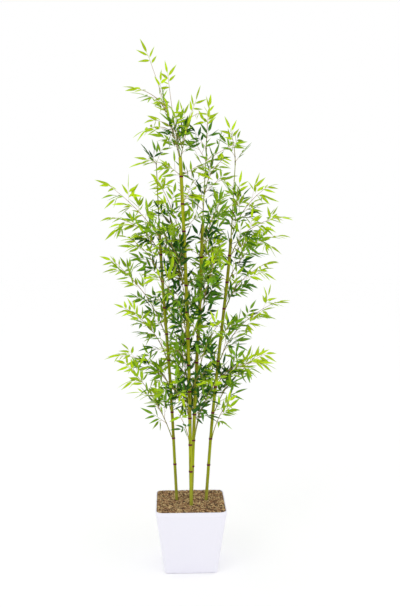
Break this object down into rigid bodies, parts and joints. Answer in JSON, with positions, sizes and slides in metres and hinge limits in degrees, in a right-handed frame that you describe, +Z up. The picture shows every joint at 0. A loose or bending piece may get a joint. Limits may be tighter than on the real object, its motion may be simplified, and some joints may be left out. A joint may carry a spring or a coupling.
{
  "type": "artificial potted bamboo",
  "caption": "Tall artificial bamboo with slender green canes, arching leafy side branches and thin leaders, standing in bark mulch in a white tapered square planter.",
  "frame": {"origin": "centre of the planter's flat underside, where the plant stands on the floor", "axes": "+Z up along the canes, -Y towards the front of the picture, +X to its right"},
  "size_m": [0.8318, 0.6638, 2.1311],
  "materials": {
    "planter": "smooth satin white with a faint cool tint",
    "mulch": "loose tan and dark brown bark chips",
    "cane": "yellow-green with faint streaks and maroon node rings",
    "bough": "green to reddish brown, dull",
    "foliage": "lime, mid and dark green leaves, satin"
  },
  "bodies": {
    "root": {"bough_leader_left": "bough", "bough_leader_middle": "bough", "bough_leader_right": "bough", "bough_left_2": "bough", "bough_left_4": "bough", "bough_left_5": "bough", "bough_left_8": "bough", "bough_right_2": "bough", "bough_right_4": "bough", "cane_centre_left": "cane", "cane_centre_right": "cane", "cane_left": "cane", "cane_right": "cane", "foliage_back_1": "foliage", "foliage_back_2": "foliage", "foliage_back_3": "foliage", "foliage_back_4": "foliage", "foliage_back_5": "foliage", "foliage_back_6": "foliage", "foliage_back_7": "foliage", "foliage_back_8": "foliage", "foliage_front_1": "foliage", "foliage_front_2": "foliage", "foliage_front_3": "foliage", "foliage_front_4": "foliage", "foliage_front_5": "foliage", "foliage_front_6": "foliage", "foliage_front_7": "foliage", "foliage_front_8": "foliage", "foliage_leader_left": "foliage", "foliage_leader_middle": "foliage", "foliage_leader_right": "foliage", "foliage_left_1": "foliage", "foliage_left_2": "foliage", "foliage_left_3": "foliage", "foliage_left_4": "foliage", "foliage_left_5": "foliage", "foliage_left_6": "foliage", "foliage_left_7": "foliage", "foliage_left_8": "foliage", "foliage_right_1": "foliage", "foliage_right_2": "foliage", "foliage_right_3": "foliage", "foliage_right_4": "foliage", "foliage_right_5": "foliage", "foliage_right_6": "foliage", "foliage_right_7": "foliage", "foliage_right_8": "foliage", "foliage_tip_centre": "foliage", "foliage_tip_left": "foliage", "foliage_tip_right": "foliage", "foliage_top_left": "foliage", "foliage_upper_back": "foliage", "foliage_upper_centre": "foliage", "foliage_upper_front": "foliage", "foliage_upper_left": "foliage", "foliage_upper_right": "foliage", "mulch_fill": "mulch", "planter": "planter"}
  },
  "joints": []
}
